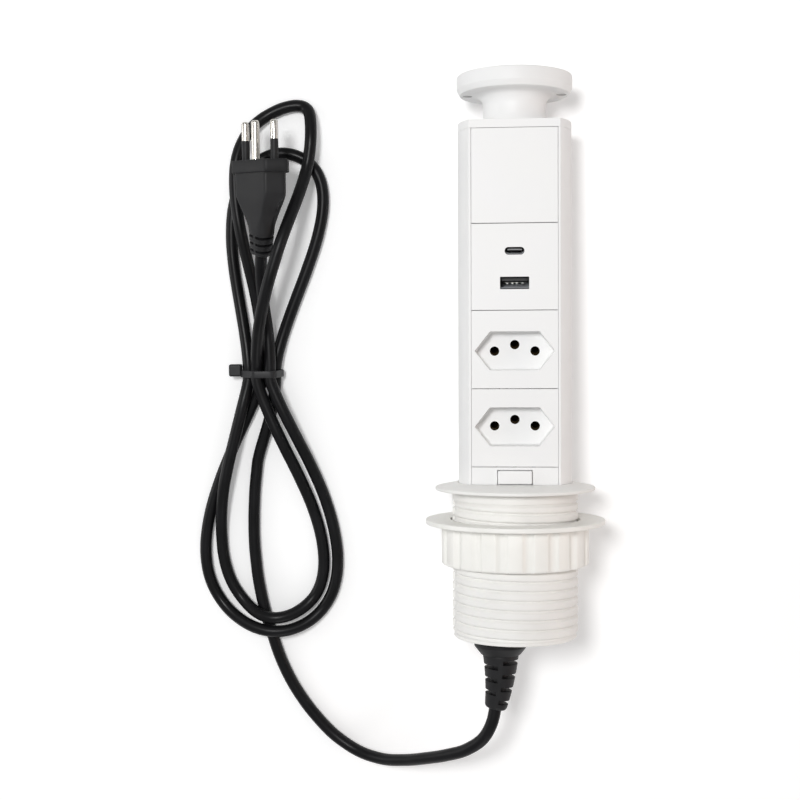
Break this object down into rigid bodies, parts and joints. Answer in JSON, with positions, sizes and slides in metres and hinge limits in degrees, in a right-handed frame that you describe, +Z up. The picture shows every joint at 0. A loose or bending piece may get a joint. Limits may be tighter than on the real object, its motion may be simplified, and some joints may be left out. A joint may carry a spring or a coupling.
{
  "type": "pop up desk socket",
  "caption": "Round pop-up power tower with plug sockets and USB ports on a flat front, threaded clamp sleeve, pull knob, and a tied mains lead with plug",
  "frame": {"origin": "centre of the laid object's footprint box, on the table, measured without the lead, its hank and plug", "axes": "+Y runs along the tower from the gland end to the knob, +X is to the right of the tower's front, +Z is up from the table; the tower lies on its back on the clamp washer's rim and the knob's rim"},
  "size_m": [0.2041, 0.344, 0.0851],
  "materials": {
    "white_plastic": "satin moulded plastic",
    "warm_white_plastic": "satin moulded plastic, slightly warmer",
    "collar_plastic": "satin moulded plastic, slightly greyer",
    "black_plastic": "satin",
    "black_rubber": "satin soft plastic",
    "steel": "bright",
    "nickel_brass": "nickel-plated",
    "brass": "plain",
    "circuit_board": "solder mask",
    "transformer_tape": "tape",
    "capacitor_sleeve": "shrunk sleeve",
    "brown_wire": "insulation",
    "blue_wire": "insulation",
    "green_wire": "insulation"
  },
  "bodies": {
    "barrel": {"collar_ring": "collar_plastic", "threaded_sleeve": "collar_plastic", "friction_ring": "black_rubber"},
    "washer": {"clamp_washer": "white_plastic"},
    "nut": {"lock_nut": "warm_white_plastic"},
    "tower": {"tower_shell": "white_plastic", "top_cap": "white_plastic", "knob_waist": "white_plastic", "knob_disc": "white_plastic", "blank_cover": "white_plastic", "usb_cover": "white_plastic", "upper_socket_cover": "white_plastic", "lower_socket_cover": "white_plastic", "latch_cover": "white_plastic", "bottom_cap": "white_plastic", "upper_socket_block": "warm_white_plastic", "lower_socket_block": "warm_white_plastic", "cord_clamp": "warm_white_plastic", "usb_a_tongue": "black_plastic", "usb_c_tongue": "black_plastic", "plug_pin_sleeves": "black_plastic", "cable_tie": "black_plastic", "strain_relief": "black_rubber", "power_cord": "black_rubber", "cord_hank": "black_rubber", "cord_inlet": "black_rubber", "plug_body": "black_rubber", "knob_screw": "steel", "cap_screws": "steel", "clamp_screws": "steel", "latch_spring": "steel", "usb_a_shell": "steel", "usb_c_shell": "steel", "plug_live_pins": "nickel_brass", "plug_earth_pin": "nickel_brass", "upper_contacts": "brass", "lower_contacts": "brass", "line_bar": "brass", "neutral_bar": "brass", "earth_bar": "brass", "usb_board": "circuit_board", "usb_transformer": "transformer_tape", "usb_capacitors": "capacitor_sleeve", "line_wire": "brown_wire", "neutral_wire": "blue_wire", "earth_wire": "green_wire"},
    "latch": {"latch_button": "white_plastic"}
  },
  "joints": [
    {"name": "tower_slide", "type": "slide", "parent": "barrel", "child": "tower", "axis": [0, -0.9973, 0.0738], "range_m": [0, 0.182]},
    {"name": "washer_slide", "type": "slide", "parent": "barrel", "child": "washer", "axis": [0, 0.9973, -0.0738], "range_m": [-0.034, 0.012]},
    {"name": "nut_spin", "type": "hinge", "parent": "washer", "child": "nut", "pos_m": [0, -0.06936, 0.04323], "axis": [0, 0.9973, -0.0738], "range_deg": [-2760, 980]},
    {"name": "latch_press", "type": "slide", "parent": "tower", "child": "latch", "axis": [0, -0.0738, -0.9973], "range_m": [0, 0.0016], "stiffness_N_per_m": 600, "springref_m": -0.0012, "deforming": ["latch_spring"]}
  ],
  "couplings": [
    {"joint": "nut_spin", "follows": "washer_slide", "rad_per_m": 1412}
  ]
}
